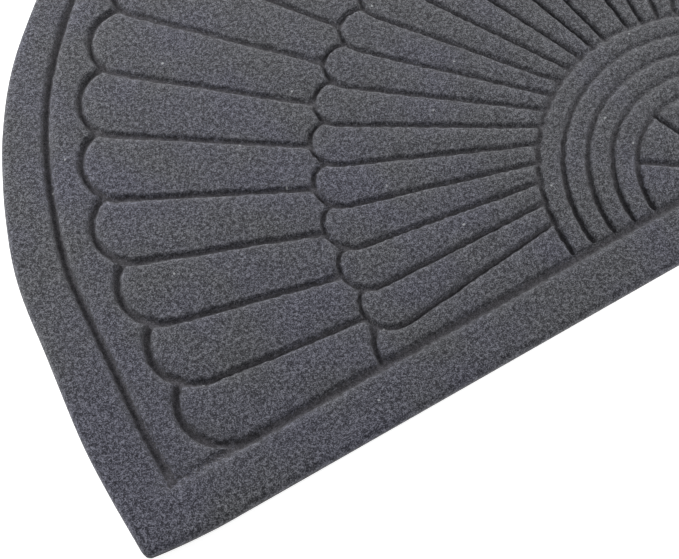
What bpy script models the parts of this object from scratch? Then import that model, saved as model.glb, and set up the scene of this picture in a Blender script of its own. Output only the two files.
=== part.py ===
"""Half-round doormat: an embossed needle-felt face on a rubber backing.

Metres, +Z up. The straight edge lies along X on the -Y side, the round edge on the +Y side.
The origin is under the middle of the mat, at the height of the floor.
"""
from math import acos, asin, atan2, cos, exp, hypot, pi, radians, sin, sqrt, tan

import bmesh
import bpy
from mathutils import Vector

# Sheet sizes
WIDTH = 0.750                 # straight edge, corner to corner
BACKING_THICKNESS = 0.0015
FELT_THICKNESS = 0.0050
SHEET_GAP = 0.0003            # between the backing and the felt
RIM_ROUNDING = 0.0018         # the felt's upper rim
RIM_STEPS = 2

# Round edge: an arc whose centre is above the fan's centre
EDGE_RADIUS = 0.3757
EDGE_CENTRE_RISE = 0.0330

# The fan's centre lies on the middle line, a border's width from the straight edge
STRAIGHT_BORDER = 0.0298
DEPTH = STRAIGHT_BORDER + EDGE_CENTRE_RISE + EDGE_RADIUS
FAN_CENTRE_Y = -DEPTH / 2 + STRAIGHT_BORDER
EDGE_SEGMENTS = 64
SIDE_DRAW = 0.0039            # the sides are drawn in a little, low on the arc
SIDE_DRAW_REACH = 0.160
FOOT_FLARE = 0.0045           # and spread again at the foot
FOOT_FLARE_TOP = 0.0300
CORNER_HEIGHT = -0.0240       # where the round edge meets the corner, from the fan's centre
CORNER_LIFT = 0.0035          # the straight edge eases up towards the corners
CORNER_LIFT_REACH = 0.0450
CORNER_RADIUS = 0.0060
CORNER_STEPS = 3

# The whole sheet is pulled out of its even shape a little where each side turns into the crown
PULL_OUT = 0.0022
PULL_TURN, PULL_REACH = radians(37.5), radians(9.2)
PULL_RIM = 0.396              # the pull is full at this distance from the fan's centre
SAG = 0.0010
SAG_TURN, SAG_REACH = radians(29.8), radians(18.0)
SAG_FROM, SAG_FULL = 0.205, 0.260

# Border groove and the plain field inside it, wider at the sides than at the crown
BORDER_AT_SIDE = 0.0286
BORDER_AT_CROWN = 0.0180
FIELD_AT_SIDE = 0.0183
FIELD_AT_CROWN = 0.0158
BORDER_GROOVE_SEGMENTS = 44
BORDER_GROOVE_START = 0.0040  # it stops this far above the straight groove
STRAIGHT_GROOVE_HALF = 0.3480
STRAIGHT_GROOVE_RISE = -0.0003

# Fan of petals: each one is a strip with a round end that leans a little up the fan
PETALS = 26
PITCH = pi / PETALS
OUTER_ROUND = 0.0246          # radius of an outer round end
OUTER_BEND = 0.0110           # rounding where it meets the petal's lower side
OUTER_LEAN = 0.0026
OUTER_FOOT_LEAN = 0.0038      # more lean at the foot of the fan
FIRST_BEND = 0.0190           # the lowest petal is rounder, and runs out into the straight groove
FIRST_SIDE_RISE = 0.0013
FIRST_SIDE_END = (-0.3010, 0.0008)
INNER_RADIUS = 0.2230
INNER_CENTRE_RISE = 0.0130
INNER_FOOT_DROP = 0.0019
INNER_ROUND = 0.0152
INNER_LEAN = 0.0035
INNER_FOCUS = Vector((-0.0040, 0.0345))   # the left inner petals' sides aim at this point
HALF_PETAL_END = ((-0.2205, 0.0196), (-0.2256, 0.0116), (-0.2276, 0.0040))
MIDDLE_LINE = ((0.0, 0.300), (0.0, 0.420))
MIDDLE_SIDE_PAST = 0.0012     # the middle side runs past the round ends above it
HIDDEN_TURN = 1.15            # a round end is followed this far under the petal above
HIDDEN_STEPS = 40
ROUND_STEPS = 6
BEND_STEPS = 2

# Rings and wedges round the centre
RINGS = 5
RING_RADIUS = 0.1072          # the largest
RING_STEP = 0.0134
RING_SEGMENTS = 24
RING_END = 0.0040             # the rings stop this far above the fan's centre line
WEDGES = 5
WEDGE_INNER_RADIUS = 0.0100

# Grooves: width at the face, width at the floor, depth
GROOVES = {
    "border":   {"width": 0.0054, "floor": 0.0022, "depth": 0.00260},
    "straight": {"width": 0.0062, "floor": 0.0030, "depth": 0.00250},
    "petal_a":  {"width": 0.0048, "floor": 0.0018, "depth": 0.00240},
    "petal_b":  {"width": 0.0048, "floor": 0.0018, "depth": 0.00245},
    "inner_a":  {"width": 0.0044, "floor": 0.0016, "depth": 0.00230},
    "inner_b":  {"width": 0.0044, "floor": 0.0016, "depth": 0.00235},
    "ring":     {"width": 0.0046, "floor": 0.0018, "depth": 0.00255},
    "wedge":    {"width": 0.0042, "floor": 0.0016, "depth": 0.00220},
}
CUTTER_ABOVE = 0.0010         # how far a cutter stands above the face
SEAM_WELD = 0.00004           # closes slivers where two grooves meet

FELT_COLOUR = (0.085, 0.087, 0.100, 1.0)
FELT_ROUGHNESS = 0.95
RUBBER_COLOUR = (0.012, 0.012, 0.013, 1.0)
RUBBER_ROUGHNESS = 0.70

FELT_BOTTOM = BACKING_THICKNESS + SHEET_GAP
FELT_TOP = FELT_BOTTOM + FELT_THICKNESS


def clear_scene():
    for old in list(bpy.data.objects):
        bpy.data.objects.remove(old, do_unlink=True)


def new_collection(name):
    collection = bpy.data.collections.new(name)
    bpy.context.scene.collection.children.link(collection)
    return collection


def new_material(name, colour, roughness):
    material = bpy.data.materials.new(name)
    material.use_nodes = True
    shader = material.node_tree.nodes["Principled BSDF"]
    shader.inputs["Base Color"].default_value = colour
    shader.inputs["Roughness"].default_value = roughness
    shader.inputs["Metallic"].default_value = 0.0
    return material


# Plan geometry, measured from the fan's centre; angles run from the left end of the straight
# groove over the crown

def polar(radius, angle):
    return (-radius * cos(angle), radius * sin(angle))


def mirrored(path):
    return [(-x, y) for x, y in path]


def side_to_crown(at_side, at_crown, angle):
    return at_crown + (at_side - at_crown) * cos(angle) ** 4


def circle_reach(radius, centre_rise, angle):
    """Distance from the fan's centre to a circle whose centre is centre_rise above it."""
    return centre_rise * sin(angle) + sqrt(radius ** 2 - (centre_rise * cos(angle)) ** 2)


def edge_point(turn):
    """Point of the round edge at an angle turn round the arc's own centre, on the left half."""
    x = -EDGE_RADIUS * cos(turn)
    y = EDGE_CENTRE_RISE + EDGE_RADIUS * sin(turn)
    if 0.0 < y < SIDE_DRAW_REACH:
        x += SIDE_DRAW * sin(pi * y / SIDE_DRAW_REACH) ** 2
    if y < FOOT_FLARE_TOP:
        share = (FOOT_FLARE_TOP - y) / (FOOT_FLARE_TOP - CORNER_HEIGHT)
        x -= FOOT_FLARE * share ** 2
    return (x, y)


def edge_reach(angle):
    """Distance from the fan's centre to the round edge at an angle of the fan."""
    low, high = -0.3, pi / 2
    for _ in range(40):
        middle = (low + high) / 2
        x, y = edge_point(middle)
        if atan2(y, -x) < angle:
            low = middle
        else:
            high = middle
    return hypot(*edge_point(low))


def border_reach(angle):
    return edge_reach(angle) - side_to_crown(BORDER_AT_SIDE, BORDER_AT_CROWN, angle)


def outer_crown(angle):
    return border_reach(angle) - side_to_crown(FIELD_AT_SIDE, FIELD_AT_CROWN, angle)


def inner_crown(angle):
    return circle_reach(INNER_RADIUS, INNER_CENTRE_RISE, angle) - INNER_FOOT_DROP * cos(angle) ** 20


def smooth_step(low, high, value):
    share = min(1.0, max(0.0, (value - low) / (high - low)))
    return share * share * (3 - 2 * share)


def pulled(path):
    """The path on the real sheet, which is pulled out a little where each side turns into the crown."""
    moved = []
    for x, y in path:
        reach, turn = hypot(x, y), atan2(y, abs(x))
        out = PULL_OUT * exp(-((turn - PULL_TURN) / PULL_REACH) ** 2) * (reach / PULL_RIM) ** 2
        sag = SAG * exp(-((turn - SAG_TURN) / SAG_REACH) ** 2) * smooth_step(SAG_FROM, SAG_FULL, reach)
        reach, turn = reach + out, turn - sag / reach
        moved.append((reach * cos(turn) * (1 if x > 0 else -1), reach * sin(turn)))
    return moved


def arc_through(start, middle, end, steps):
    """Points of the circle arc from start through middle to end."""
    (ax, ay), (bx, by), (cx, cy) = start, middle, end
    double_area = 2 * (ax * (by - cy) + bx * (cy - ay) + cx * (ay - by))
    a_square, b_square, c_square = ax * ax + ay * ay, bx * bx + by * by, cx * cx + cy * cy
    centre_x = (a_square * (by - cy) + b_square * (cy - ay) + c_square * (ay - by)) / double_area
    centre_y = (a_square * (cx - bx) + b_square * (ax - cx) + c_square * (bx - ax)) / double_area
    radius = hypot(ax - centre_x, ay - centre_y)
    first = atan2(ay - centre_y, ax - centre_x)
    sweep = (atan2(cy - centre_y, cx - centre_x) - first) % (2 * pi)
    if double_area < 0:
        sweep -= 2 * pi
    turns = [first + sweep * step / steps for step in range(steps + 1)]
    return [(centre_x + radius * cos(turn), centre_y + radius * sin(turn)) for turn in turns]


def rounded_corner(before, corner, after, radius, steps):
    """Arc that rounds the corner between two straight legs."""
    leg_in = Vector(before) - Vector(corner)
    leg_out = Vector(after) - Vector(corner)
    half_angle = leg_in.angle(leg_out) / 2
    reach = min(radius / tan(half_angle), 0.9 * leg_in.length, 0.9 * leg_out.length)
    start = Vector(corner) + leg_in.normalized() * reach
    end = Vector(corner) + leg_out.normalized() * reach
    bisector = (leg_in.normalized() + leg_out.normalized()).normalized()
    true_radius = reach * tan(half_angle)
    centre = Vector(corner) + bisector * (true_radius / sin(half_angle))
    middle = centre - bisector * true_radius
    return arc_through(tuple(start), tuple(middle), tuple(end), steps)


def edge_outline():
    """Closed outline of the mat, from the left corner over the crown and back along the straight edge."""
    lowest = asin((CORNER_HEIGHT - EDGE_CENTRE_RISE) / EDGE_RADIUS)
    half_turns = EDGE_SEGMENTS // 2
    left = []
    for step in range(half_turns + 1):
        turn = lowest + (pi / 2 - lowest) * step / half_turns
        left.append(edge_point(turn))
    left = pulled(left)
    straight = -STRAIGHT_BORDER
    lift_start = WIDTH / 2 - CORNER_LIFT_REACH
    foot = []
    for share in (0.0, 0.35, 0.65):
        foot.append((-lift_start - share * CORNER_LIFT_REACH, straight + CORNER_LIFT * share ** 2))
    corner = (left[0][0], straight + CORNER_LIFT)
    rounding = rounded_corner(foot[-1], corner, left[1], CORNER_RADIUS, CORNER_STEPS)
    left = foot + rounding + left[2:]
    right = mirrored(left[:-1])
    right.reverse()
    return left + right


def border_groove():
    lowest = asin(BORDER_GROOVE_START / border_reach(0.0))
    angles = [lowest + (pi - 2 * lowest) * step / BORDER_GROOVE_SEGMENTS
              for step in range(BORDER_GROOVE_SEGMENTS + 1)]
    return [polar(border_reach(min(angle, pi - angle)), angle) for angle in angles]


def directions(angle):
    """Unit vectors out from the fan's centre at an angle, and across it toward larger angles."""
    return Vector((-cos(angle), sin(angle))), Vector((sin(angle), cos(angle)))


def heading(vector, after=0.0):
    """The vector's direction, in the full turn that starts at another direction."""
    return after + (atan2(vector.y, vector.x) - after) % (2 * pi)


def on_circle(centre, radius, turn):
    return centre + radius * Vector((cos(turn), sin(turn)))


def arc(centre, radius, first, last, steps):
    return [on_circle(centre, radius, first + (last - first) * step / steps) for step in range(steps + 1)]


def gap_to(point, path):
    """Distance from a point to a path."""
    nearest = 1.0
    for start, end in zip(path, path[1:]):
        start, step = Vector(start), Vector(end) - Vector(start)
        share = min(1.0, max(0.0, (point - start).dot(step) / step.length_squared))
        nearest = min(nearest, (start + step * share - point).length)
    return nearest


def round_end(centre, radius, middle, last, above):
    """Round end from where it comes out from under the path above to its last turn."""
    first = pi - middle - HIDDEN_TURN
    turns = [first + (last - first) / 2 * step / HIDDEN_STEPS for step in range(HIDDEN_STEPS)]
    start = min(turns, key=lambda turn: gap_to(on_circle(centre, radius, turn), above))
    return arc(centre, radius, start, last, ROUND_STEPS)


def outer_petal(index, above):
    """Left-hand petal: its round end, its rounded lower corner and its lower side."""
    low, middle = index * PITCH, (index + 0.5) * PITCH
    outward, across = directions(middle)
    lean = OUTER_LEAN + OUTER_FOOT_LEAN * cos(middle) ** 8
    centre = outward * (outer_crown(middle) - OUTER_ROUND) + across * lean
    along_side, inward = directions(low)
    bend_radius = OUTER_BEND if index else FIRST_BEND
    bend_centre = inward * bend_radius
    if index == 0:
        bend_centre.y += FIRST_SIDE_RISE
    offset = bend_centre - centre
    along = offset.dot(along_side)
    slack = along ** 2 - offset.length_squared + (OUTER_ROUND - bend_radius) ** 2
    bend_centre = bend_centre + along_side * (sqrt(max(0.0, slack)) - along)
    meeting = heading(bend_centre - centre)
    bend = arc(bend_centre, bend_radius, meeting, heading(-inward), BEND_STEPS)
    end = polar(inner_crown(low), low) if index else FIRST_SIDE_END
    return round_end(centre, OUTER_ROUND, middle, meeting, above) + bend[1:] + [end]


def inner_round(middle, lean):
    """Centre of an inner round end, and the turn where its side leaves it for the focus."""
    outward, across = directions(middle)
    centre = outward * (inner_crown(middle) - INNER_ROUND) + across * lean
    to_focus = INNER_FOCUS - centre
    return centre, heading(to_focus, pi / 2) - acos(INNER_ROUND / to_focus.length)


def inner_side_end(start):
    """Where a side that leaves the start for the focus meets the largest ring."""
    inward = (INNER_FOCUS - start).normalized()
    along = start.dot(inward)
    return start + inward * (-along - sqrt(along ** 2 - start.length_squared + RING_RADIUS ** 2))


def inner_petal(index, above):
    """Left-hand inner petal, centred on a side of the outer petals."""
    middle = index * PITCH
    centre, last = inner_round(middle, INNER_LEAN)
    crown = round_end(centre, INNER_ROUND, middle, last, above)
    return crown + [inner_side_end(crown[-1])]


def middle_inner_petal():
    """Inner petal on the middle line: both sides and its whole round end."""
    centre, last = inner_round(pi / 2, 0.0)
    left = arc(centre, INNER_ROUND, pi / 2, last, ROUND_STEPS // 2)
    left.append(inner_side_end(left[-1]))
    return list(reversed(left)) + mirrored(left[1:])


def petal_row(draw, indices, above):
    """One row's left-hand petals from the top down, each tucked under the one above."""
    row = {}
    for index in sorted(indices, reverse=True):
        row[index] = above = draw(index, above)
    return row


def ring(index):
    radius = RING_RADIUS - index * RING_STEP
    start = asin(RING_END / radius)
    return [polar(radius, start + (pi - 2 * start) * step / RING_SEGMENTS)
            for step in range(RING_SEGMENTS + 1)]


def wedge_side(index):
    angle = index * pi / WEDGES
    smallest_ring = RING_RADIUS - (RINGS - 1) * RING_STEP
    return [polar(smallest_ring, angle), polar(WEDGE_INNER_RADIUS, angle)]


def groove_paths():
    """Paths of each cutter. Paths of one cutter never touch each other."""
    half = PETALS // 2
    paths = {name: [] for name in GROOVES}
    paths["border"].append(border_groove())
    straight_left = (-STRAIGHT_GROOVE_HALF, STRAIGHT_GROOVE_RISE)
    paths["straight"].append([straight_left, (STRAIGHT_GROOVE_HALF, STRAIGHT_GROOVE_RISE)])
    middle_petal = middle_inner_petal()
    outer = petal_row(outer_petal, range(half), MIDDLE_LINE)
    inner = petal_row(inner_petal, range(1, half), middle_petal)
    for index, left in outer.items():
        even = index % 2 == 0
        paths["petal_a" if even else "petal_b"].append(left)
        paths["petal_b" if even else "petal_a"].append(mirrored(left))
    for index, left in inner.items():
        name = "inner_b" if index % 2 else "inner_a"
        paths[name].append(left)
        paths[name].append(mirrored(left))
    paths["inner_b" if half % 2 else "inner_a"].append(middle_petal)
    paths["wedge"].append(list(HALF_PETAL_END))
    paths["wedge"].append(mirrored(HALF_PETAL_END))
    middle_top = (0.0, outer[half - 1][0].y + MIDDLE_SIDE_PAST)
    paths["wedge"].append([middle_top, polar(inner_crown(pi / 2), pi / 2)])
    paths["wedge"].extend(wedge_side(index) for index in range(1, WEDGES))
    paths["ring"].extend(ring(index) for index in range(RINGS))
    return paths


def add_spline(curve, points, closed):
    spline = curve.splines.new("POLY")
    spline.points.add(len(points) - 1)
    for point, (x, y) in zip(spline.points, points):
        point.co = (x, y, 0.0, 1.0)
    spline.use_cyclic_u = closed


def mesh_from_curve(curve_object, collection):
    """A mesh object in place of a curve object, its caps welded."""
    evaluated = curve_object.evaluated_get(bpy.context.evaluated_depsgraph_get())
    mesh = bpy.data.meshes.new_from_object(evaluated)
    name = curve_object.name
    place = curve_object.matrix_world.copy()
    bpy.data.objects.remove(curve_object, do_unlink=True)
    bm = bmesh.new()
    bm.from_mesh(mesh)
    bmesh.ops.remove_doubles(bm, verts=bm.verts, dist=0.000001)
    bmesh.ops.recalc_face_normals(bm, faces=bm.faces)
    bm.to_mesh(mesh)
    bm.free()
    result = bpy.data.objects.new(name, mesh)
    collection.objects.link(result)
    result.matrix_world = place
    return result


def sheet(name, thickness, bottom, collection):
    """Flat sheet with the mat's outline."""
    curve = bpy.data.curves.new(name, "CURVE")
    curve.dimensions = "2D"
    curve.fill_mode = "BOTH"
    curve.extrude = thickness / 2
    add_spline(curve, edge_outline(), True)
    outline = bpy.data.objects.new(name, curve)
    collection.objects.link(outline)
    outline.location = (0.0, FAN_CENTRE_Y, bottom + thickness / 2)
    bpy.context.view_layer.update()
    return mesh_from_curve(outline, collection)


def round_upper_rim(felt):
    """The felt rolls over at its upper rim."""
    bm = bmesh.new()
    bm.from_mesh(felt.data)
    top = FELT_THICKNESS / 2
    rim = []
    for edge in bm.edges:
        upper = all(abs(vertex.co.z - top) < 0.00001 for vertex in edge.verts)
        sloped = any(abs(face.normal.z) < 0.5 for face in edge.link_faces)
        if upper and sloped:
            rim.append(edge)
    bmesh.ops.bevel(bm, geom=rim, offset=RIM_ROUNDING, segments=RIM_STEPS, profile=0.5,
                    affect="EDGES", clamp_overlap=True)
    bm.to_mesh(felt.data)
    bm.free()


def groove_profile(name, size, collection):
    """Section of a groove cutter: a trough that narrows to its floor."""
    slope = (size["width"] - size["floor"]) / 2 / size["depth"]
    half_top = size["width"] / 2 + slope * CUTTER_ABOVE
    half_floor = size["floor"] / 2
    corners = [(-half_top, CUTTER_ABOVE), (-half_floor, -size["depth"]),
               (half_floor, -size["depth"]), (half_top, CUTTER_ABOVE)]
    profile = bpy.data.curves.new(name + "_profile", "CURVE")
    profile.dimensions = "2D"
    add_spline(profile, corners, True)
    section = bpy.data.objects.new(name + "_profile", profile)
    collection.objects.link(section)
    return section


def groove_cutter(name, paths, size, collection):
    section = groove_profile(name, size, collection)
    curve = bpy.data.curves.new(name, "CURVE")
    curve.dimensions = "3D"
    curve.twist_mode = "Z_UP"
    curve.bevel_mode = "OBJECT"
    curve.bevel_object = section
    curve.use_fill_caps = True
    for path in paths:
        add_spline(curve, pulled(path), False)
    cutter = bpy.data.objects.new("cut_" + name, curve)
    collection.objects.link(cutter)
    cutter.location = (0.0, FAN_CENTRE_Y, FELT_TOP)
    bpy.context.view_layer.update()
    mesh_cutter = mesh_from_curve(cutter, collection)
    bpy.data.objects.remove(section, do_unlink=True)
    mesh_cutter.hide_render = True
    mesh_cutter.display_type = "WIRE"
    return mesh_cutter


def build():
    clear_scene()
    parts = new_collection("half_round_doormat")
    cutters = new_collection("groove_cutters")

    backing = sheet("rubber_backing", BACKING_THICKNESS, 0.0, parts)
    backing.data.materials.append(new_material("rubber", RUBBER_COLOUR, RUBBER_ROUGHNESS))

    felt = sheet("felt_face", FELT_THICKNESS, FELT_BOTTOM, parts)
    round_upper_rim(felt)
    felt.data.materials.append(new_material("needle_felt", FELT_COLOUR, FELT_ROUGHNESS))
    for name, paths in groove_paths().items():
        groove_cutter(name, paths, GROOVES[name], cutters)
    cut = felt.modifiers.new("grooves", "BOOLEAN")
    cut.operation = "DIFFERENCE"
    cut.solver = "EXACT"
    cut.operand_type = "COLLECTION"
    cut.collection = cutters
    seams = felt.modifiers.new("seams", "WELD")
    seams.merge_threshold = SEAM_WELD


build()
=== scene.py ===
# %% [markdown]
# # A half-round doormat of needle felt
#
# The real mat is one half-round cut of charcoal needle felt, bonded to a thin rubber sheet. A hot
# die has pressed a fan into the felt: a border line, a straight line, two rows of petals and a
# set of rings. Nothing is sewn on and nothing is printed, so the whole look comes from three
# things: the soft shoulders of the grooves, the speckled fibre of the face, and the rim that
# rolls over.
#
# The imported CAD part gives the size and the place. This script dresses it.

# %% Load the frame
from math import acos, asin, atan2, cos, exp, hypot, pi, radians, sin, sqrt, tan

import bmesh
import bpy
import numpy as np
from mathutils import Matrix, Vector, noise
from mathutils.geometry import delaunay_2d_cdt


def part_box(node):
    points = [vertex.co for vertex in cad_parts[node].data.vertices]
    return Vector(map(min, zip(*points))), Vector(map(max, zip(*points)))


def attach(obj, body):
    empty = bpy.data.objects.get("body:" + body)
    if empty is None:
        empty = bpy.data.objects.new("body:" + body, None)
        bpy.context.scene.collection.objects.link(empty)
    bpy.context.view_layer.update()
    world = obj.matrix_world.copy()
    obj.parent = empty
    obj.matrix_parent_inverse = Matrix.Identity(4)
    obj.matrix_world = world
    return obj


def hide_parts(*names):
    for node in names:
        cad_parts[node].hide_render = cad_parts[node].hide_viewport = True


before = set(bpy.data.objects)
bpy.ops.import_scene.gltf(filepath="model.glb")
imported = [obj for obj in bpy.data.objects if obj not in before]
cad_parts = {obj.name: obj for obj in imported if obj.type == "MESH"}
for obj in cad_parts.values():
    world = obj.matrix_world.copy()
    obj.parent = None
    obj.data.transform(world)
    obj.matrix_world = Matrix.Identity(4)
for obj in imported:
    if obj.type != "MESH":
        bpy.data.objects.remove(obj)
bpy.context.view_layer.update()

felt_low, felt_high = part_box("felt_face")
rubber_low, rubber_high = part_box("rubber_backing")

# %% [markdown]
# ## The outline
#
# The mat's round edge is an arc. Its sides are drawn in a little above the corners and spread
# again at the foot, as on the CAD part. Everything is measured from the fan's centre, which sits
# a border's width above the straight edge. The right half mirrors the left one, so only the left
# half is worked out. Where each side turns into the crown, the real mat is pulled out by two
# millimetres and sags by one, outline and pattern alike, so both pass through the same rule.

# %% Sizes of the outline
HALF_WIDTH = 0.3750
STRAIGHT_BORDER = 0.0298
EDGE_RADIUS, EDGE_CENTRE_RISE = 0.3757, 0.0330
SIDE_DRAW, SIDE_DRAW_REACH = 0.0039, 0.160
FOOT_FLARE, FOOT_FLARE_TOP, CORNER_HEIGHT = 0.0045, 0.0300, -0.0240
CORNER_LIFT, CORNER_LIFT_REACH, CORNER_RADIUS = 0.0035, 0.0450, 0.0042
STRETCH, STRETCH_TURN, STRETCH_REACH, STRETCH_RIM = 0.0022, radians(37.5), radians(9.2), 0.396
SAG, SAG_TURN, SAG_REACH, SAG_FROM, SAG_FULL = 0.0010, radians(29.8), radians(18.0), 0.205, 0.260
EDGE_STEPS, CORNER_STEPS, LONGEST_LEG = 180, 6, 0.9
FOOT_SHARES = (0.0, 0.2, 0.4, 0.6, 0.75)
FAN_CENTRE_Y = felt_low.y + STRAIGHT_BORDER
print("fan's centre:", round(1000 * FAN_CENTRE_Y, 1), "mm from the middle of the part")

# %% Points along paths
def polar(radius, angle):
    return (-radius * cos(angle), radius * sin(angle))


def mirrored(path):
    return [(-x, y) for x, y in path]


def arc_through(start, middle, end, steps):
    (ax, ay), (bx, by), (cx, cy) = start, middle, end
    double_area = 2 * (ax * (by - cy) + bx * (cy - ay) + cx * (ay - by))
    a2, b2, c2 = ax * ax + ay * ay, bx * bx + by * by, cx * cx + cy * cy
    x0 = (a2 * (by - cy) + b2 * (cy - ay) + c2 * (ay - by)) / double_area
    y0 = (a2 * (cx - bx) + b2 * (ax - cx) + c2 * (bx - ax)) / double_area
    first, radius = atan2(ay - y0, ax - x0), hypot(ax - x0, ay - y0)
    sweep = (atan2(cy - y0, cx - x0) - first) % (2 * pi) - (2 * pi if double_area < 0 else 0)
    turns = [first + sweep * step / steps for step in range(steps + 1)]
    return [(x0 + radius * cos(turn), y0 + radius * sin(turn)) for turn in turns]


def rounded_corner(before, corner, after, radius, steps):
    corner = Vector(corner)
    leg_in, leg_out = Vector(before) - corner, Vector(after) - corner
    half_angle = leg_in.angle(leg_out) / 2
    longest = LONGEST_LEG * min(leg_in.length, leg_out.length)
    reach = min(radius / tan(half_angle), longest)
    start, end = corner + leg_in.normalized() * reach, corner + leg_out.normalized() * reach
    bisector = (leg_in.normalized() + leg_out.normalized()).normalized()
    middle = corner + bisector * reach * (1 / cos(half_angle) - tan(half_angle))
    return arc_through(tuple(start), tuple(middle), tuple(end), steps)


def resampled(path, spacing):
    """The path again, as points about one spacing apart."""
    points = np.array(path, float)
    lengths = np.r_[0.0, np.cumsum(np.hypot(*np.diff(points, axis=0).T))]
    count = max(2, int(round(lengths[-1] / spacing)) + 1)
    marks = np.linspace(0.0, lengths[-1], count)
    return np.c_[np.interp(marks, lengths, points[:, 0]), np.interp(marks, lengths, points[:, 1])]


def smooth_step(low, high, value):
    share = np.clip((value - low) / (high - low), 0.0, 1.0)
    return share * share * (3 - 2 * share)


print("path helpers ready")


# %% The outline's rule
def edge_point(turn):
    x = -EDGE_RADIUS * cos(turn)
    y = EDGE_CENTRE_RISE + EDGE_RADIUS * sin(turn)
    if 0.0 < y < SIDE_DRAW_REACH:
        x += SIDE_DRAW * sin(pi * y / SIDE_DRAW_REACH) ** 2
    if y < FOOT_FLARE_TOP:
        x -= FOOT_FLARE * ((FOOT_FLARE_TOP - y) / (FOOT_FLARE_TOP - CORNER_HEIGHT)) ** 2
    return (x, y)


def stretched(path):
    """The path as it lies on the real mat, pulled out and sagging a little beside the crown."""
    moved = []
    for x, y in path:
        reach, turn = hypot(x, y), atan2(y, abs(x))
        out = STRETCH * exp(-((turn - STRETCH_TURN) / STRETCH_REACH) ** 2)
        out *= (reach / STRETCH_RIM) ** 2
        sag = SAG * exp(-((turn - SAG_TURN) / SAG_REACH) ** 2)
        sag *= smooth_step(SAG_FROM, SAG_FULL, reach)
        reach, turn = reach + out, turn - sag / reach
        moved.append((reach * cos(turn) * (1 if x > 0 else -1), reach * sin(turn)))
    return moved


def outline():
    lowest = asin((CORNER_HEIGHT - EDGE_CENTRE_RISE) / EDGE_RADIUS)
    turns = [lowest + (pi / 2 - lowest) * step / EDGE_STEPS for step in range(EDGE_STEPS + 1)]
    side = stretched(edge_point(turn) for turn in turns)
    foot = []
    for share in FOOT_SHARES:
        x = -HALF_WIDTH + (1 - share) * CORNER_LIFT_REACH
        foot.append((x, CORNER_LIFT * share ** 2 - STRAIGHT_BORDER))
    corner = (side[0][0], CORNER_LIFT - STRAIGHT_BORDER)
    left = foot + rounded_corner(foot[-1], corner, side[1], CORNER_RADIUS, CORNER_STEPS)
    left += side[2:]
    right = mirrored(left[:-1])
    right.reverse()
    return left + right


mat_outline = outline()
print("outline:", len(mat_outline), "points, width",
      round(max(x for x, _ in mat_outline) - min(x for x, _ in mat_outline), 4), "m")

# %% [markdown]
# ## The pressed fan
#
# The fan is a traditional shell figure, made here by rule: twenty-six petals share the half turn.
# Every petal is a strip with a round end. The round end leans a little up the fan, and its far
# side runs under the next petal, which gives the look of overlapping scales. The outer petals'
# sides aim at the fan's centre, with a rounded corner where a side meets the round end. The inner
# row is set half a pitch off, and its sides leave the round ends as tangents and aim at a point
# above the centre.
#
# The fan ends at the straight line. There the lowest outer petal is rounder and runs out into the
# line, a short branch drops beside the lowest inner petal, and the border line ends in a small
# pit.

# %% Sizes of the fan
PETALS = 26
PITCH = pi / PETALS
HALF = PETALS // 2
BORDER_AT_SIDE, BORDER_AT_CROWN = 0.0286, 0.0180
FIELD_AT_SIDE, FIELD_AT_CROWN = 0.0183, 0.0158
OUTER_ROUND, OUTER_BEND = 0.0246, 0.0110
FIRST_BEND, FIRST_SIDE_RISE, FIRST_SIDE_END = 0.0190, 0.0013, (-0.3010, 0.0008)
OUTER_LEAN, OUTER_FOOT_LEAN = 0.0026, 0.0038
INNER_RADIUS, INNER_CENTRE_RISE, INNER_FOOT_DROP = 0.2230, 0.0130, 0.0019
INNER_ROUND, INNER_LEAN, INNER_FOCUS = 0.0152, 0.0035, np.array([-0.0040, 0.0345])
ROUND_START, ROUND_STEPS, BEND_STEPS = 1.15, 80, 12
RING_RADII, RING_FOOT, RING_STEPS = (0.1072, 0.0938, 0.0804, 0.0670, 0.0536), 0.0040, 90
WEDGES, WEDGE_INNER = 5, 0.0100
SHORT_SIDE, SHORT_BY = 7, 0.0030
BORDER_FOOT, BORDER_STEPS = 0.0064, 260
STRAIGHT_END, STRAIGHT_RISE = 0.3480, -0.0003
STUB = [(-0.2205, 0.0196), (-0.2256, 0.0116), (-0.2276, 0.0030)]
PIT = [(-0.3464, 0.0036), (-0.3484, -0.0008), (-0.3452, 0.0008)]
MIDDLE_LINE = np.array([(0.0, 0.30), (0.0, 0.42)])
EDGE_LOWEST, EDGE_SAMPLES = -0.17, 400
CROWN_POWER, LEAN_POWER, DROP_POWER = 4, 8, 20
print("petals:", PETALS, "at a pitch of", round(180 / PETALS, 2), "degrees")

# %% How far out each row reaches
def side_to_crown(at_side, at_crown, angle):
    return at_crown + (at_side - at_crown) * cos(angle) ** CROWN_POWER


edge_left = np.array([edge_point(turn)
                      for turn in np.linspace(EDGE_LOWEST, pi / 2, EDGE_SAMPLES)])
edge_angles = np.arctan2(edge_left[:, 1], -edge_left[:, 0])
edge_reaches = np.hypot(edge_left[:, 0], edge_left[:, 1])


def border_reach(angle):
    reach = float(np.interp(angle, edge_angles, edge_reaches))
    return reach - side_to_crown(BORDER_AT_SIDE, BORDER_AT_CROWN, angle)


def outer_crown(angle):
    return border_reach(angle) - side_to_crown(FIELD_AT_SIDE, FIELD_AT_CROWN, angle)


def inner_crown(angle):
    offset = INNER_CENTRE_RISE
    reach = offset * sin(angle) + sqrt(INNER_RADIUS ** 2 - (offset * cos(angle)) ** 2)
    return reach - INNER_FOOT_DROP * cos(angle) ** DROP_POWER


print("outer row reaches", round(outer_crown(pi / 2), 4), "m at the crown, the inner row",
      round(inner_crown(pi / 2), 4), "m")


# %% One petal of each row
def directions(angle):
    """Unit vectors out from the fan's centre at an angle, and across it toward larger angles."""
    return np.array([-cos(angle), sin(angle)]), np.array([sin(angle), cos(angle)])


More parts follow.
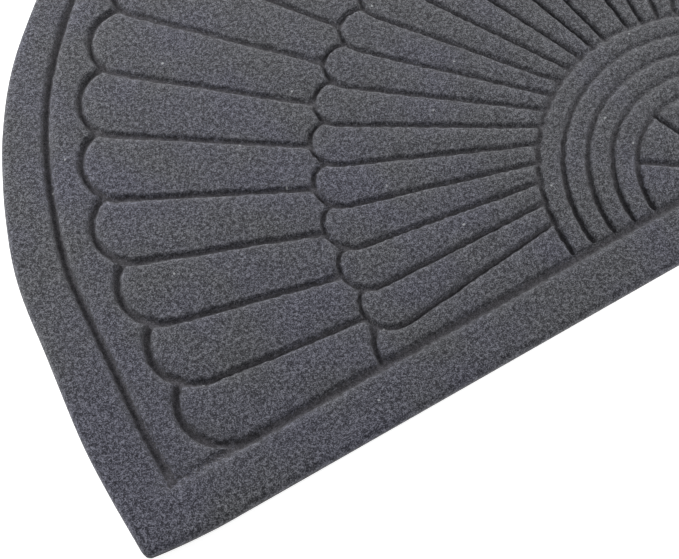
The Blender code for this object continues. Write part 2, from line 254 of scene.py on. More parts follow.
def heading(vector, after=0.0):
    """The vector's direction, in the full turn that starts at another direction."""
    return after + (atan2(vector[1], vector[0]) - after) % (2 * pi)


def arc(centre, radius, first, last, steps):
    turns = np.linspace(first, last, steps)
    return np.c_[centre[0] + radius * np.cos(turns), centre[1] + radius * np.sin(turns)]


def outer_petal(index):
    """From under the next petal over the round end, round the lower corner and down the side."""
    low, middle = index * PITCH, (index + 0.5) * PITCH
    outward, across = directions(middle)
    lean = OUTER_LEAN + OUTER_FOOT_LEAN * cos(middle) ** LEAN_POWER
    centre = outward * (outer_crown(middle) - OUTER_ROUND) + across * lean
    along_side, inward = directions(low)
    bend_radius = OUTER_BEND if index else FIRST_BEND
    bend_centre = inward * bend_radius + (0.0 if index else np.array([0.0, FIRST_SIDE_RISE]))
    offset = bend_centre - centre
    along = offset @ along_side
    slack = along ** 2 - offset @ offset + (OUTER_ROUND - bend_radius) ** 2
    bend_centre = bend_centre + along_side * (sqrt(max(0.0, slack)) - along)
    meeting = heading(bend_centre - centre)
    crown = arc(centre, OUTER_ROUND, pi - middle - ROUND_START, meeting, ROUND_STEPS)
    bend = arc(bend_centre, bend_radius, meeting, heading(-inward), BEND_STEPS)
    short = SHORT_BY if index == SHORT_SIDE else 0.0
    end = polar(inner_crown(low) + short, low) if index else FIRST_SIDE_END
    return np.vstack([crown, bend[1:], [end]])


def inner_petal(index):
    """The same for the inner row. The middle petal starts at its top, to meet its mirror image."""
    middle = index * PITCH
    outward, across = directions(middle)
    in_middle = index == HALF
    lean = 0.0 if in_middle else INNER_LEAN
    centre = outward * (inner_crown(middle) - INNER_ROUND) + across * lean
    to_focus = INNER_FOCUS - centre
    last = heading(to_focus, pi / 2) - acos(INNER_ROUND / hypot(*to_focus))
    first = pi - middle - (0.0 if in_middle else ROUND_START)
    crown = arc(centre, INNER_ROUND, first, last, ROUND_STEPS)
    inward = (INNER_FOCUS - crown[-1]) / hypot(*(INNER_FOCUS - crown[-1]))
    along = crown[-1] @ inward
    reach = -along - sqrt(along ** 2 - crown[-1] @ crown[-1] + RING_RADII[0] ** 2)
    return np.vstack([crown, crown[-1] + inward * reach])


print("points in a petal:", len(outer_petal(1)), "outer,", len(inner_petal(1)), "inner")


# %% Tuck each petal under the one above
def distance_to(points, path):
    """Distance from each point to the nearest stretch of a path."""
    starts, steps = path[:-1], np.diff(path, axis=0)
    offset = points[:, None, :] - starts[None, :, :]
    share = (offset * steps).sum(2) / (steps ** 2).sum(1)
    share = np.clip(share, 0.0, 1.0)
    return np.sqrt(((offset - share[:, :, None] * steps) ** 2).sum(2).min(1))


def tucked(petals, above):
    """The petals from the top down, each cut off where it runs under the one above."""
    row = []
    for petal in petals:
        start = distance_to(petal[:ROUND_STEPS // 2], above).argmin()
        row.append(petal[start:])
        above = petal
    return row


outer_row = tucked([outer_petal(index) for index in reversed(range(HALF))], MIDDLE_LINE)
inner_row = [inner_petal(HALF)]
inner_row += tucked([inner_petal(index) for index in reversed(range(1, HALF))], inner_row[0])
print("petals on the left:", len(outer_row), "outer and", len(inner_row), "inner")


# %% Lay out every groove
def ring(radius):
    start = asin(RING_FOOT / radius)
    return [polar(radius, angle) for angle in np.linspace(start, pi - start, RING_STEPS)]


def both_sides(path):
    return [path, mirrored(path)]


lowest_border = asin(BORDER_FOOT / border_reach(0.0))
border_line = [polar(border_reach(min(angle, pi - angle)), angle)
               for angle in np.linspace(lowest_border, pi - lowest_border, BORDER_STEPS)]
straight_line = [(-STRAIGHT_END, STRAIGHT_RISE), (STRAIGHT_END, STRAIGHT_RISE)]
grooves = {"border": [border_line], "straight": [straight_line]}
grooves["outer"] = [path for petal in outer_row for path in both_sides(petal)]
grooves["outer"].append([outer_row[0][0], polar(inner_crown(pi / 2), pi / 2)])
grooves["inner"] = [path for petal in inner_row for path in both_sides(petal)]
grooves["stub"], grooves["pit"] = both_sides(STUB), both_sides(PIT)
grooves["ring"] = [ring(radius) for radius in RING_RADII]
wedge_turns = [step * pi / WEDGES for step in range(1, WEDGES)]
grooves["wedge"] = [[polar(RING_RADII[-1], turn), polar(WEDGE_INNER, turn)]
                    for turn in wedge_turns]
print("groove paths:", {name: len(paths) for name, paths in grooves.items()})

# %% [markdown]
# ## How deep the die pressed
#
# A die leaves a flat floor and a soft shoulder, because the fibres around it are dragged down
# too. The section of a groove is therefore one smooth step from the floor to the shoulder, plus a
# wide shallow dip beside it, which makes every pad a little puffy. Where two grooves meet, the
# depths are blended with a fourth-power sum, which rounds the corners of the pads between them as
# felt does. The rings were pressed deeper at their feet than at their tops. Where lines meet, the
# die was worn: the floor is wider and shallower there, and the pads' corners are rounder. At the
# two feet of the fan the border and the outer petals are a little wider and the petals deeper,
# the straight line fades out toward its ends, and the pit at the border's foot is shallow. Slow
# noise on the distance makes the grooves' edges ragged, as fibres do.

# %% The die's sizes
PRESS = {
    "border": {"floor": 0.0013, "shoulder": 0.0026, "depth": 0.0024},
    "pit": {"floor": 0.0017, "shoulder": 0.0034, "depth": 0.0032},
    "straight": {"floor": 0.0016, "shoulder": 0.0034, "depth": 0.0017},
    "outer": {"floor": 0.0008, "shoulder": 0.0023, "depth": 0.0022},
    "inner": {"floor": 0.0006, "shoulder": 0.0020, "depth": 0.0022},
    "stub": {"floor": 0.0010, "shoulder": 0.0026, "depth": 0.0024},
    "ring": {"floor": 0.0009, "shoulder": 0.0024, "depth": 0.0028},
    "wedge": {"floor": 0.0006, "shoulder": 0.0022, "depth": 0.0022},
}
DIP, DIP_REACH, DEEPEST = 0.00105, 0.0039, 0.0036
RING_TOP_SHARE = 0.24
FAINT_FROM, FAINT_TO, FAINT_SHARE = 0.3300, 0.3080, 0.16
CROWN_FROM, CROWN_TO, CROWN_WIDER = 0.3100, 0.3260, 0.0002
FOOT_WIDER, FOOT_HARDER, FOOT_POWER = 0.0004, 0.30, 6
PIT_SHARE = 0.46
RAGGED, RAGGED_SIZE = 0.00095, 430.0
WORN_TO, WORN_WIDER, WORN_SHARE = 0.0050, 0.0009, 0.42
SHOULDER_WIDER, MELT_EDGE = 1.4, 0.0009
CREST_PAST, CREST_WIDTH, CREST_CLEAR = 0.0006, 0.0013, 0.0012
print("deepest groove by itself:", 1000 * max(press["depth"] for press in PRESS.values()), "mm")

# %% Where the grooves run and meet
CURVE_SPACING, STRAIGHT_SPACING = 0.0022, 0.02
PRESS_REACH, MOST_PAIRS = 0.02, 2000000

meetings = [tuple(petal[0]) for petal in outer_row + inner_row[1:]]
meetings += [tuple(petal[-1]) for petal in outer_row[:-1] + inner_row]
meetings += [STUB[0], PIT[0]]
meetings = np.array(stretched(meetings + mirrored(meetings)))
all_paths = []
for name, paths in grooves.items():
    spacing = STRAIGHT_SPACING if name == "straight" else CURVE_SPACING
    all_paths += [(name, resampled(stretched(path), spacing)) for path in paths]
print("paths in all:", len(all_paths), "with", sum(len(path) for _, path in all_paths), "points")


def distances(points, reach):
    """For the points near each path: its index, the points' rows and their distances to it."""
    rows = []
    for index, (name, path) in enumerate(all_paths):
        low, high = path.min(0) - reach, path.max(0) + reach
        near = np.nonzero(((points > low) & (points < high)).all(1))[0]
        for part in np.array_split(near, max(1, len(near) * len(path) // MOST_PAIRS)):
            if len(part):
                rows.append((index, part, distance_to(points[part], path)))
    return rows


# %% Depth at any point
def at_foot(x, y):
    """One at the fan's two lowest places, falling to nothing above them."""
    return (x ** 2 / (x ** 2 + y ** 2)) ** FOOT_POWER


def strength(name, x, y):
    """How hard the die pressed at a place, as a share of the groove's full depth."""
    if name == "ring":
        return RING_TOP_SHARE + (1 - RING_TOP_SHARE) * x ** 2 / (x ** 2 + y ** 2)
    if name == "straight":
        return 1 - (1 - FAINT_SHARE) * smooth_step(FAINT_TO, FAINT_FROM, np.abs(x))
    if name == "outer":
        outside = smooth_step(CROWN_FROM, CROWN_TO, np.hypot(x, y))
        return 1 + FOOT_HARDER * at_foot(x, y) * outside
    return np.full(len(x), PIT_SHARE if name == "pit" else 1.0)


def pressed(points):
    """For each point, the die's depth in metres and the shares of floor, wall and crest."""
    powers, dips = np.zeros(len(points)), np.zeros(len(points))
    melt, wall, crest = np.zeros(len(points)), np.zeros(len(points)), np.zeros(len(points))
    ragged = RAGGED * np.array([noise.noise(Vector((x, y, 0.0)) * RAGGED_SIZE) for x, y in points])
    nearest = np.min([np.hypot(*(points - meeting).T) for meeting in meetings], axis=0)
    worn = 1 - smooth_step(0.0, WORN_TO, nearest)
    for index, rows, away in distances(points, PRESS_REACH):
        away = np.maximum(0.0, away + ragged[rows])
        name = all_paths[index][0]
        wider = WORN_WIDER * worn[rows]
        if name in ("outer", "border"):
            x, y = points[rows].T
            widest = FOOT_WIDER * at_foot(x, y) + (CROWN_WIDER if name == "outer" else 0.0)
            wider += widest * smooth_step(CROWN_FROM, CROWN_TO, np.hypot(x, y))
        floor = PRESS[name]["floor"] + wider
        shoulder = PRESS[name]["shoulder"] + SHOULDER_WIDER * wider
        depth = PRESS[name]["depth"]
        hard = strength(name, *points[rows].T) * (1 - WORN_SHARE * worn[rows])
        share = 1 - smooth_step(floor, shoulder, away)
        powers[rows] += (depth * share * hard) ** 4
        dips[rows] += np.exp(-3 * away / DIP_REACH)
        melted = 1 - smooth_step(floor, floor + MELT_EDGE, away)
        melt[rows] = np.maximum(melt[rows], melted * hard ** 0.5)
        wall[rows] = np.maximum(wall[rows], 4 * share * (1 - share) * hard)
        beyond = away - shoulder - CREST_PAST
        crest[rows] = np.maximum(crest[rows], np.exp(-(beyond / CREST_WIDTH) ** 2))
    mark = powers ** 0.25
    depth = np.minimum(mark + DIP * np.cbrt(dips), DEEPEST)
    return depth, melt, wall, crest * (1 - smooth_step(0.0, CREST_CLEAR, mark))


print("depth at the foot of the innermost ring, in mm:",
      round(1000 * pressed(np.array([[-RING_RADII[-1], RING_FOOT]]))[0][0], 2))

# %% [markdown]
# ## Where the mesh needs points
#
# The face is nearly flat, and only the grooves and the rim bend. An even grid fine enough for the
# grooves would need a million faces, so the points go where the shape is: in rows beside each
# groove, in rows inside the rim, and far apart on the pads between. Where two grooves come
# together, a point stays only if its own groove is the nearest.

# %% Rows beside the grooves
ROWS = (0.0, 0.0009, 0.0015, 0.0021, 0.0028, 0.0036, 0.0048, 0.0064)
ALONG, ALONG_FAR, FAR_ROW = 0.0023, 1.5, 0.0040
ROW_SLACK, NEAR_REACH, FAR_AWAY, END_TURNS = 0.00006, 0.010, 1.0, 9


def beside(path, offset):
    """The path's points moved sideways by the offset."""
    along = np.gradient(path, axis=0)
    along /= np.hypot(along[:, 0], along[:, 1])[:, None]
    return path + offset * np.c_[-along[:, 1], along[:, 0]]


def round_end(centre, radius):
    """A ring of points, to go round the end of a path."""
    turns = np.linspace(0, 2 * pi, END_TURNS)[:-1]
    return centre + radius * np.c_[np.cos(turns), np.sin(turns)]


def row_points():
    """Points in rows beside every path and round its ends, and each one's distance from it."""
    found, wanted = [], []
    for _, path in all_paths:
        for row in ROWS:
            spaced = resampled(path, ALONG if row < FAR_ROW else ALONG_FAR * ALONG)
            sides = [beside(spaced, row), beside(spaced, -row)] if row else [spaced]
            sides += [round_end(spaced[end], row) for end in (0, -1) if row]
            for side in sides:
                found.append(side)
                wanted += [row] * len(side)
    return np.vstack(found), np.array(wanted)


def nearest_groove(points):
    """Distance from each point to the nearest groove, where one is near."""
    nearest = np.full(len(points), FAR_AWAY)
    for _, rows, away in distances(points, NEAR_REACH):
        nearest[rows] = np.minimum(nearest[rows], away)
    return nearest


candidates, wanted = row_points()
candidates = candidates[nearest_groove(candidates) > wanted - ROW_SLACK]
print("points in rows beside the grooves:", len(candidates))


# %% Rows inside the rim and a grid on the pads
RIM_ROWS = (0.0002, 0.0006, 0.0012, 0.0020, 0.0032, 0.0050)
RIM_SPACING = 0.0027
PAD_GRID, LINE_SHARE = 0.0042, 0.866
GRID_SIDE, GRID_LOW, GRID_HIGH = 0.38, -0.034, 0.412
PAD_FROM_GROOVE, PAD_FROM_RIM = 0.0080, 0.0065
MIN_GAP = 0.00055
PARTS = 80

rim = resampled(mat_outline + mat_outline[:1], RIM_SPACING)[:-1]
rim_closed = np.vstack([rim, rim[:1]])


def thinned(points, gap):
    """The points, in order, without those closer than the gap to an earlier one."""
    cells, kept = {}, []
    for number, (x, y) in enumerate(points):
        column, line = int(x // gap), int(y // gap)
        close = False
        for dx in (-1, 0, 1):
            for dy in (-1, 0, 1):
                for other in cells.get((column + dx, line + dy), ()):
                    if (points[other][0] - x) ** 2 + (points[other][1] - y) ** 2 < gap * gap:
                        close = True
        if not close:
            cells.setdefault((column, line), []).append(number)
            kept.append(number)
    return points[kept]


def in_parts(measure, points):
    """The measure of every point, taken a part at a time to save memory."""
    return np.concatenate([measure(part) for part in np.array_split(points, PARTS)])


def to_outline(points):
    """Distance from each point to the outline."""
    return distance_to(points, rim_closed)


def inside(points):
    """Whether each point is inside, by how often a line to its right crosses the outline."""
    x, y = points[:, 0][:, None], points[:, 1][:, None]
    x0, y0, x1, y1 = rim[:, 0], rim[:, 1], np.roll(rim[:, 0], -1), np.roll(rim[:, 1], -1)
    crosses = (y0 > y) != (y1 > y)
    with np.errstate(divide="ignore", invalid="ignore"):
        at = x0 + (y - y0) * (x1 - x0) / (y1 - y0)
    return (crosses & (x < at)).sum(1) % 2 == 1


rim_rows = np.vstack([beside(rim, -row) for row in RIM_ROWS])
columns = np.arange(-GRID_SIDE, GRID_SIDE, PAD_GRID)
lines = np.arange(GRID_LOW, GRID_HIGH, PAD_GRID * LINE_SHARE)
grid = np.array([(x + (row % 2) * PAD_GRID / 2, y)
                 for row, y in enumerate(lines) for x in columns])
grid = grid[in_parts(inside, grid)]
on_pad = (nearest_groove(grid) > PAD_FROM_GROOVE) & (in_parts(to_outline, grid) > PAD_FROM_RIM)
grid = grid[on_pad]
face_points = thinned(np.vstack([candidates, rim_rows, grid]), MIN_GAP)
face_points = face_points[in_parts(inside, face_points)]
print("rim:", len(rim_rows), "pads:", len(grid), "kept in all:", len(face_points))

# %% [markdown]
# ## The felt
#
# A triangulation joins the points, with the outline as its border. Blender's fill operators take
# no inner points, so this one step comes from mathutils. Operators do the rest: the border is
# extruded down for the cut side and filled for the underside. Then each point of the face is
# pressed down by the die's depth, rolled over at the rim, and moved a little by slow noise,
# because felt is never quite even.

# %% Build the felt
MERGE_GAP = 1e-7


def build_felt():
    """The flat face, as triangles between the rim and all the points."""
    count = len(rim)
    corners = [Vector(p) for p in rim] + [Vector(p) for p in face_points]
    border = [(i, (i + 1) % count) for i in range(count)]
    points, _, faces, *_ = delaunay_2d_cdt(corners, border, [], 1, MERGE_GAP)
    bm = bmesh.new()
    verts = [bm.verts.new((p.x, p.y, felt_high.z)) for p in points]
    for face in faces:
        bm.faces.new([verts[i] for i in face])
    bmesh.ops.recalc_face_normals(bm, faces=bm.faces)
    if sum(face.normal.z for face in bm.faces) < 0:
        bmesh.ops.reverse_faces(bm, faces=bm.faces)
    return bm


felt_bm = build_felt()
print("face:", len(felt_bm.verts), "points,", len(felt_bm.faces), "triangles")

# %% Press the face and roll its rim
RIM_ROLL = 0.0030
WANDER, WANDER_SIZE = 0.00045, 28.0
HEAVE, HEAVE_SIZE = 0.00022, 16.0
LUMPS, LUMP_SIZE = 0.00009, 260.0
HEAVE_SHIFT, LUMP_SHIFT, ACROSS_SHIFT, AWAY_SHIFT = 3.1, 7.7, 11.3, 17.9


def slow_noise(point, size, shift):
    return noise.noise(Vector((point.x * size + shift, point.y * size - shift, shift)))


flat = np.array([vert.co.xy for vert in felt_bm.verts])
depth, *shares = pressed(flat)
to_rim = in_parts(to_outline, flat)
roll_share = np.clip(1 - to_rim / RIM_ROLL, 0.0, 1.0)
roll = RIM_ROLL * (1 - np.sqrt(np.maximum(0.0, 1 - roll_share ** 2)))
marks = [felt_bm.verts.layers.float.new(name) for name in ("melted", "wall", "crest")]
for vert, down, share, over in zip(felt_bm.verts, depth, zip(*shares), roll):
    place = vert.co.copy()
    heave = HEAVE * slow_noise(place, HEAVE_SIZE, HEAVE_SHIFT)
    lumps = LUMPS * (1 - share[0]) * slow_noise(place, LUMP_SIZE, LUMP_SHIFT)
    vert.co.z = felt_high.z - down - over + (heave + lumps)
    vert.co.x += WANDER * slow_noise(place, WANDER_SIZE, ACROSS_SHIFT)
    vert.co.y += WANDER * slow_noise(place, WANDER_SIZE, AWAY_SHIFT)
    for layer, value in zip(marks, share):
        vert[layer] = value
print("pressed down by", round(1000 * depth.max(), 2), "mm at most")

# %% Close the felt's side and underside
SIDE_OUT, FOOT_IN = 0.0004, 0.0010


def extrude_rim(bm, edges, z, inward):
    """Extrude the open edges to a height, drawn in by a share, and return the new open ones."""
    made = bmesh.ops.extrude_edge_only(bm, edges=edges)["geom"]
    lower = [item for item in made if isinstance(item, bmesh.types.BMVert)]
    for vert in lower:
        vert.co.z = z
    bmesh.ops.scale(bm, vec=(1 - inward, 1 - inward, 1), verts=lower)
    return [item for item in made if isinstance(item, bmesh.types.BMEdge) and item.is_boundary]


open_edges = [edge for edge in felt_bm.edges if edge.is_boundary]
middle_height = (felt_low.z + felt_high.z - RIM_ROLL) / 2
open_edges = extrude_rim(felt_bm, open_edges, middle_height, -SIDE_OUT)
open_edges = extrude_rim(felt_bm, open_edges, felt_low.z, FOOT_IN)
bmesh.ops.contextual_create(felt_bm, geom=open_edges)
bmesh.ops.translate(felt_bm, vec=(0, FAN_CENTRE_Y, 0), verts=felt_bm.verts)
bmesh.ops.recalc_face_normals(felt_bm, faces=felt_bm.faces)


def finished(bm, name):
    """Turn the bmesh into a smooth object at the origin."""
    mesh = bpy.data.meshes.new(name)
    bm.to_mesh(mesh)
    bm.free()
    for polygon in mesh.polygons:
        polygon.use_smooth = True
    piece = bpy.data.objects.new(name, mesh)
    bpy.context.scene.collection.objects.link(piece)
    return piece


open_left = sum(edge.is_boundary for edge in felt_bm.edges)
felt = finished(felt_bm, "felt_pile_face")
print("felt:", len(felt.data.vertices), "points, open edges:", open_left)

# %% [markdown]
# ## The rubber backing
#
# Under the felt lies a thin rubber sheet of the same outline. Only its cut edge shows, as a dark
# line. It starts from one filled outline that is extruded up, and its rims are bevelled lightly.

# %% Build the backing
RUBBER_INSET, RUBBER_BEVEL, LEVEL_FACE = 0.0004, 0.0002, 0.9


def build_backing():
    bm = bmesh.new()
    corners = [bm.verts.new((x, y, rubber_low.z)) for x, y in beside(rim, -RUBBER_INSET)]
    base = bmesh.ops.contextual_create(bm, geom=corners)["faces"]
    raised = bmesh.ops.extrude_face_region(bm, geom=base)["geom"]
    top = [item for item in raised if isinstance(item, bmesh.types.BMVert)]
    bmesh.ops.translate(bm, vec=(0, 0, rubber_high.z - rubber_low.z), verts=top)
    bmesh.ops.recalc_face_normals(bm, faces=bm.faces)
    sharp = [edge for edge in bm.edges
             if any(abs(face.normal.z) > LEVEL_FACE for face in edge.link_faces)]
    bmesh.ops.bevel(bm, geom=sharp, offset=RUBBER_BEVEL, segments=1, profile=0.5,
                    affect="EDGES", material=-1)
    bmesh.ops.translate(bm, vec=(0, FAN_CENTRE_Y, 0), verts=bm.verts)
    return bm


backing = finished(build_backing(), "rubber_sheet")
print("backing:", len(backing.data.vertices), "points")

# %% [markdown]
# ## A small language for shader maths
#
# A socket wrapped in a class can be added, subtracted and multiplied like a number, and each sum
# adds a Math node. One method makes any other node from its type, its settings and its sockets.

# %% Sockets that do sums
class Term:
    def __init__(self, shader, socket):
        self.shader, self.socket = shader, socket

    def _math(self, operation, *values):
        return self.shader.node("ShaderNodeMath", {"operation": operation},
                                dict(enumerate(values)))

    def __add__(self, other):
        return self._math("ADD", self, other)

    __radd__ = __add__

    def __sub__(self, other):
        return self._math("SUBTRACT", self, other)

    def __rsub__(self, other):
        return self._math("SUBTRACT", other, self)

    def __mul__(self, other):
        return self._math("MULTIPLY", self, other)

    __rmul__ = __mul__


class Shader:
    def __init__(self, name):
        self.material = bpy.data.materials.new(name)
        self.material.use_nodes = True
        self.tree = self.material.node_tree
        self.main = self.tree.nodes["Principled BSDF"]

    def connect(self, socket, value):
        if isinstance(value, Term):
            self.tree.links.new(value.socket, socket)
        else:
            socket.default_value = value

    def node(self, kind, settings=None, inputs=None, output=0):
        made = self.tree.nodes.new(kind)
        for key, value in (settings or {}).items():
            if key == "stops":
                elements = made.color_ramp.elements
                while len(elements) < len(value):
                    elements.new(0.5)
                for element, (position, colour) in zip(elements, value):
                    element.position, element.color = position, colour
            else:
                setattr(made, key, value)
        for key, value in (inputs or {}).items():
            self.connect(made.inputs[key], value)
        return Term(self, made.outputs[output])

    def noise(self, place, scale, detail, roughness, output=0):
        sockets = {"Vector": place, "Scale": scale, "Detail": detail, "Roughness": roughness}
        return self.node("ShaderNodeTexNoise", {}, sockets, output)

    def between(self, value, low, high, to_low=0.0, to_high=1.0):
        return self.node("ShaderNodeMapRange", {"interpolation_type": "SMOOTHSTEP"},
                         {"Value": value, "From Min": low, "From Max": high,
                          "To Min": to_low, "To Max": to_high})

    def mix(self, share, first, second):
        return self.node("ShaderNodeMix", {"data_type": "RGBA"},
                         {0: share, 6: first, 7: second}, output=2)

    def ramp(self, level, stops):
        return self.node("ShaderNodeValToRGB", {"stops": stops}, {"Fac": level})

    def finish(self, **values):
        for key, value in values.items():
            self.connect(self.main.inputs[key.replace("_", " ")], value)
        return self.material


print("shader helpers ready")

# %% [markdown]
# ## The felt's finish
#
# Needle felt is a tangle of short fibres, each a little lighter or darker than the next. From a
# step away that reads as a fine speckle about a millimetre across, with paler fibre ends and a
# few specks of lint. The colour drifts between a bluish and a neutral charcoal over a hand's
# width, and is bluer toward the left of the mat. In the grooves the die has melted the fibres
# together: the floor is even in colour and smoother. The walls beside it carry painted shade, and
# the pads' edges a painted highlight. The mesh carries these three places as attributes, and fine
# noise frays the borders of the first two.

# %% Felt colours and sizes
BLUE_CHARCOAL = [(0.0, (0.004, 0.004, 0.009, 1)), (0.5, (0.045, 0.045, 0.064, 1)),
                 (1.0, (0.162, 0.164, 0.203, 1))]
PLAIN_CHARCOAL = [(0.0, (0.004, 0.004, 0.006, 1)), (0.5, (0.045, 0.046, 0.053, 1)),
                  (1.0, (0.157, 0.160, 0.174, 1))]
MELTED_DARK, MELTED_PALE, MELTED_SHARE = (0.028, 0.026, 0.030, 1), (0.074, 0.070, 0.079, 1), 0.72
# The wall colour is painted shade, for the shadow that falls on the grooves' walls.
WALL_PAINTED_SHADE, WALL_SHADE_SHARE = (0.008, 0.008, 0.009, 1), 0.46
# The crest colour is a painted highlight on the pads' edges beside the grooves.
CREST_PAINTED_HIGHLIGHT, CREST_HIGHLIGHT_SHARE = (0.20, 0.20, 0.215, 1), 0.10
LINT_PALE, LINT_SHARE, LINT_CORE, LINT_EDGE = (0.42, 0.43, 0.44, 1), 0.6, 0.006, 0.013
GRAIN_SCALE, TUFT_SCALE, FRAY_SCALE, CLOUD_SCALE, DRIFT_SCALE = 1500.0, 520.0, 680.0, 26.0, 7.0
WARP_SCALE, WARP_REACH, LINT_SCALE = 500.0, 0.0016, 15.0
GRAIN_SHARE, TUFT_SHARE, CLOUD_SHARE, DRIFT_SHARE = 0.72, 0.28, 0.55, 0.35
LEFT_END, LEFT_SHARE = 0.46, 0.36
FLOOR_FRAY, FLOOR_RANGE = 2.5, (0.36, 0.66)
WALL_FRAY, WALL_RANGE = 2.4, (0.42, 0.95)
SPECKLE_RANGE, MELTED_RANGE, PATCH_RANGE = (0.395, 0.615), (0.40, 0.62), (0.38, 0.64)
PILE_ROUGH, FLOOR_SMOOTH, PILE_BUMP, PILE_HEIGHT, FLOOR_LEVEL = 0.95, 0.2, 0.75, 0.0007, 0.5
print("speckle about", round(1000 / TUFT_SCALE, 1), "mm across, drift about",
      round(1 / DRIFT_SCALE, 2), "m")

# %% Felt material
def felt_material():
    shader = Shader("needle_felt_charcoal")
    place = shader.node("ShaderNodeTexCoord", output=3)
    warp = shader.noise(place, WARP_SCALE, 2.0, 0.6, output=1)
    bent = shader.node("ShaderNodeVectorMath", {"operation": "MULTIPLY_ADD"},
                       {0: warp, 1: (WARP_REACH, WARP_REACH, WARP_REACH), 2: place})
    grain = shader.noise(bent, GRAIN_SCALE, 3.0, 0.7)
    tufts = shader.noise(bent, TUFT_SCALE, 2.0, 0.55)
    clouds = shader.noise(place, CLOUD_SCALE, 2.0, 0.5)
    drift = shader.noise(place, DRIFT_SCALE, 1.0, 0.5)
    melted_share, wall_share, crest_share = [
        shader.node("ShaderNodeAttribute", {"attribute_name": name}, output=2)
        for name in ("melted", "wall", "crest")]
    speckle = grain * GRAIN_SHARE + tufts * TUFT_SHARE
    frayed = shader.noise(bent, FRAY_SCALE, 2.0, 0.6) - 0.5
    floor = shader.between(melted_share + frayed * FLOOR_FRAY, *FLOOR_RANGE)
    wall = shader.between(wall_share + frayed * WALL_FRAY, *WALL_RANGE)
    level = shader.between(speckle, *SPECKLE_RANGE)
    along = shader.node("ShaderNodeSeparateXYZ", {}, {"Vector": place})
    patches = clouds * CLOUD_SHARE + drift * DRIFT_SHARE + (along + LEFT_END) * LEFT_SHARE
    colour = shader.mix(shader.between(patches, *PATCH_RANGE),
                        shader.ramp(level, BLUE_CHARCOAL), shader.ramp(level, PLAIN_CHARCOAL))
    # Painted highlight: the pads' edges beside the grooves are lightened, as if catching light.
    colour = shader.mix(crest_share * CREST_HIGHLIGHT_SHARE, colour, CREST_PAINTED_HIGHLIGHT)
    melted = shader.mix(shader.between(speckle, *MELTED_RANGE), MELTED_DARK, MELTED_PALE)
    colour = shader.mix(floor * MELTED_SHARE, colour, melted)
    # Painted shade: the groove walls are darkened toward near black, where shade falls in them.
    colour = shader.mix(wall * WALL_SHADE_SHARE, colour, WALL_PAINTED_SHADE)
    spots = shader.node("ShaderNodeTexVoronoi", {"voronoi_dimensions": "2D"},
                        {"Vector": bent, "Scale": LINT_SCALE})
    lint = shader.between(spots, LINT_CORE, LINT_EDGE, LINT_SHARE, 0.0)
    colour = shader.mix(lint, colour, LINT_PALE)
    lift = shader.node("ShaderNodeBump", {}, {"Strength": PILE_BUMP, "Distance": PILE_HEIGHT,
                                              "Height": speckle * (1.0 - floor * FLOOR_LEVEL)})
    rough = PILE_ROUGH - floor * FLOOR_SMOOTH
    return shader.finish(Base_Color=colour, Roughness=rough, Normal=lift,
                         Sheen_Weight=0.12, Sheen_Roughness=0.6, Specular_IOR_Level=0.25)


felt.data.materials.append(felt_material())
print("felt material:", len(felt.data.materials[0].node_tree.nodes), "nodes")

# %% [markdown]
# ## The rubber's finish
#
# The backing is dull black rubber with a slight mottle and fine pores.

# %% Rubber material
RUBBER_DARK, RUBBER_PALE = (0.008, 0.008, 0.008, 1), (0.020, 0.019, 0.019, 1)
MOTTLE_SCALE, PORE_SCALE, PORE_BUMP, PORE_DEPTH = 90.0, 1500.0, 0.3, 0.0002
RUBBER_ROUGH, MOTTLE_ROUGH = 0.62, 0.2


def rubber_material():
    shader = Shader("black_rubber")
    place = shader.node("ShaderNodeTexCoord", output=3)
    mottle = shader.noise(place, MOTTLE_SCALE, 3.0, 0.6)
    pores = shader.noise(place, PORE_SCALE, 2.0, 0.5)
    colour = shader.mix(mottle, RUBBER_DARK, RUBBER_PALE)
    lift = shader.node("ShaderNodeBump", {}, {"Strength": PORE_BUMP, "Distance": PORE_DEPTH,
                                              "Height": pores})
    rough = RUBBER_ROUGH + mottle * MOTTLE_ROUGH
    return shader.finish(Base_Color=colour, Roughness=rough, Normal=lift)


backing.data.materials.append(rubber_material())
print("rubber material:", len(backing.data.materials[0].node_tree.nodes), "nodes")

# %% [markdown]
# ## Tie the pieces to the frame
#
# Each piece rides on the part's one body, and the CAD node it stands for is hidden. Both are
# sheets that lie flat on the floor, cut to the half-round's own area.

# %% Ride and replace
for piece, cad_node, slot in ((felt, "felt_face", "needle_felt"),
                              (backing, "rubber_backing", "rubber")):
    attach(piece, "root")
    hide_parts(cad_node)

# %% [markdown]
# ## Floor, light and camera
#
# The photograph is a product shot on white: a pale floor that burns out, and soft light that
# comes in low, so that the grooves show. Three soft boxes give it: a small one low at the left
# and behind the mat, a larger one low at the right and behind, and a higher one at the right in
# front, which opens the shadows. The camera stands over the left half, looking down at the fan.

# %% Floor
FLOOR_SIZE, FLOOR_DROP, FLOOR_GLOW = 6.0, 0.0002, 0.65
floor_bm = bmesh.new()
bmesh.ops.create_grid(floor_bm, x_segments=1, y_segments=1, size=FLOOR_SIZE)
bmesh.ops.translate(floor_bm, vec=(0, 0, -FLOOR_DROP), verts=floor_bm.verts)
floor_piece = finished(floor_bm, "floor")
paint = Shader("pale_floor")
floor_piece.data.materials.append(paint.finish(Base_Color=(0.80, 0.80, 0.80, 1), Roughness=0.9,
                                               Emission_Color=(1, 1, 1, 1),
                                               Emission_Strength=FLOOR_GLOW))
print("floor:", 2 * FLOOR_SIZE, "m across")


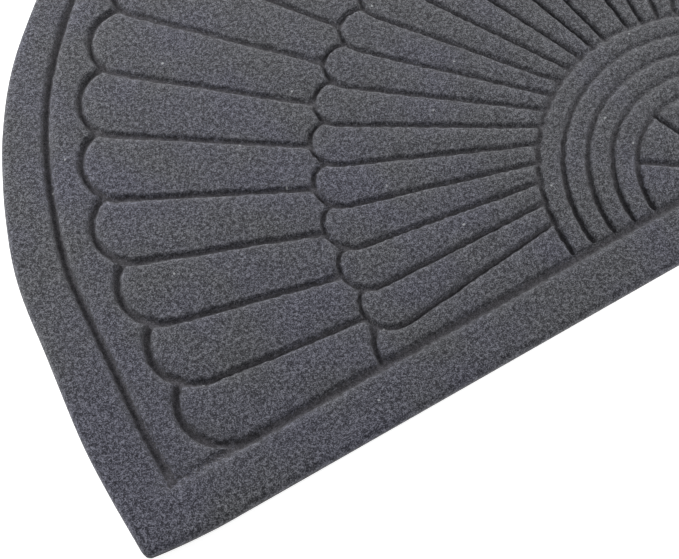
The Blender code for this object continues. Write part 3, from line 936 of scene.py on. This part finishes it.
# %% Light
AIM = Vector((-0.15, FAN_CENTRE_Y, felt_high.z))
SOFTBOXES = {
    "left_softbox": {"turn": 133, "rise": 18, "distance": 0.93, "size": 0.40, "power": 9.3},
    "back_softbox": {"turn": 53, "rise": 18, "distance": 1.30, "size": 0.50, "power": 10.3},
    "right_softbox": {"turn": -29, "rise": 29, "distance": 1.10, "size": 0.45, "power": 7.9},
}
WORLD_LIGHT = 0.30


def softbox(name, turn, rise, distance, size, power):
    """A square light that looks at the aim from that turn and rise, in degrees."""
    turn, rise = radians(turn), radians(rise)
    outward = Vector((cos(turn) * cos(rise), sin(turn) * cos(rise), sin(rise)))
    place = AIM + outward * distance
    light = bpy.data.lights.new(name, "AREA")
    light.shape, light.size, light.energy = "SQUARE", size, power
    lamp = bpy.data.objects.new(name, light)
    bpy.context.scene.collection.objects.link(lamp)
    lamp.visible_camera = False
    facing = (AIM - place).to_track_quat("-Z", "Y").to_matrix().to_4x4()
    lamp.matrix_world = Matrix.Translation(place) @ facing


for name, settings in SOFTBOXES.items():
    softbox(name, **settings)
world = bpy.data.worlds.new("studio")
world.use_nodes = True
world.node_tree.nodes["Background"].inputs["Color"].default_value = (1, 1, 1, 1)
world.node_tree.nodes["Background"].inputs["Strength"].default_value = WORLD_LIGHT
bpy.context.scene.world = world
bpy.context.scene.view_settings.view_transform = "Standard"
print("lights:", ", ".join(SOFTBOXES))

# %% Camera
CAMERA_PLACE = (-0.45032, FAN_CENTRE_Y - 0.26392, felt_high.z + 0.68908)
CAMERA_TURN = (29.477, -2.158, -32.215)
CAMERA_LENS, CAMERA_SENSOR, CAMERA_NEAR = 82.22, 36.0, 0.01
camera_data = bpy.data.cameras.new("camera")
camera_data.lens, camera_data.sensor_width = CAMERA_LENS, CAMERA_SENSOR
camera_data.clip_start = CAMERA_NEAR
camera = bpy.data.objects.new("camera", camera_data)
camera.location = CAMERA_PLACE
camera.rotation_euler = [radians(angle) for angle in CAMERA_TURN]
bpy.context.scene.collection.objects.link(camera)
bpy.context.scene.camera = camera
print("camera:", CAMERA_LENS, "mm lens,", round(CAMERA_PLACE[2], 2), "m above the floor")
